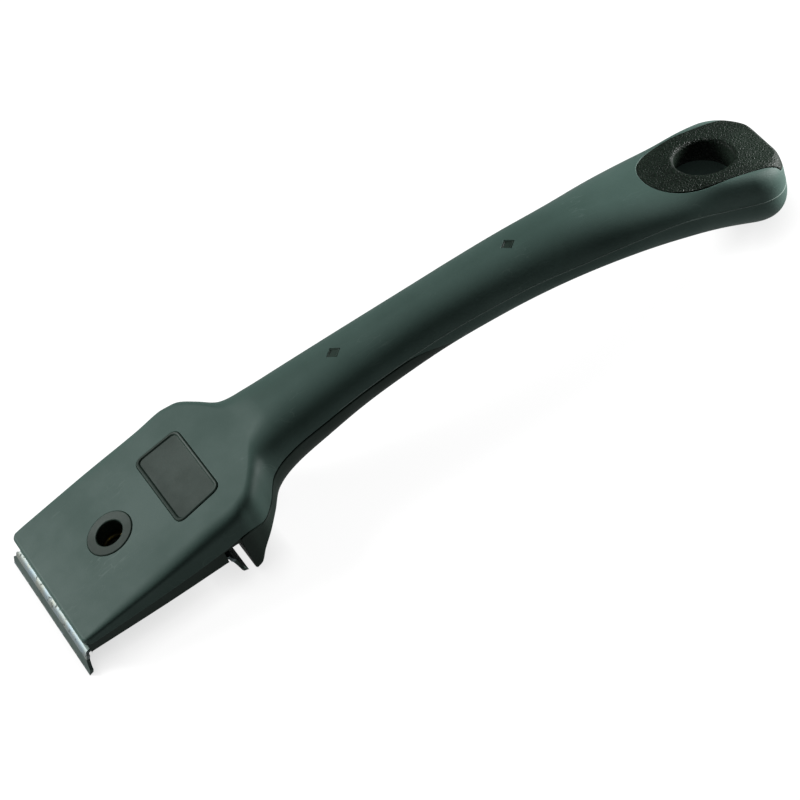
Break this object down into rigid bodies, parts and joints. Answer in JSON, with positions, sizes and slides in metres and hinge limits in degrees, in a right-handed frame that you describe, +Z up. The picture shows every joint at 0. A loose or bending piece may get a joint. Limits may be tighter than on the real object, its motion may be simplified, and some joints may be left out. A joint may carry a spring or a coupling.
{
  "type": "hand scraper",
  "caption": "Pull scraper with a flat wedge head, a clamped reversible steel blade and an arched soft-grip handle that has a hanging hole.",
  "frame": {"origin": "centre of the bounding box at the level of what the scraper rests on", "axes": "+X from the front cutting edge to the end of the handle, +Y across, +Z up, with the tool lying on its front cutting edge and the end of its handle"},
  "size_m": [0.2948, 0.0642, 0.0442],
  "materials": {
    "grip_rubber": "matt grey-green, fine grain",
    "core_nylon": "satin dark grey-brown moulding",
    "blade_steel": "hardened spring steel, bright where it is worn",
    "zinc_steel": "zinc-plated",
    "insert_brass": "turned"
  },
  "bodies": {
    "handle": {"handle_core": "core_nylon", "soft_grip": "grip_rubber", "threaded_insert": "insert_brass"},
    "plate": {"clamp_plate": "zinc_steel"},
    "screw": {"clamp_screw": "zinc_steel"},
    "blade": {"blade": "blade_steel"}
  },
  "joints": [
    {"name": "plate_drop", "type": "slide", "parent": "handle", "child": "plate", "axis": [0.0816, 0, -0.9967], "range_m": [0, 0.00381]},
    {"name": "screw_turn", "type": "hinge", "parent": "plate", "child": "screw", "pos_m": [-0.11619, 0, 0.00255], "axis": [0.0816, 0, -0.9967], "range_deg": [0, 1080]},
    {"name": "blade_drop", "type": "slide", "parent": "handle", "child": "blade", "axis": [0.0816, 0, -0.9967], "range_m": [0, 0.00381]}
  ],
  "couplings": [
    {"joint": "screw_turn", "follows": "plate_drop", "rad_per_m": 4947.4},
    {"joint": "blade_drop", "follows": "plate_drop", "ratio": 1}
  ]
}
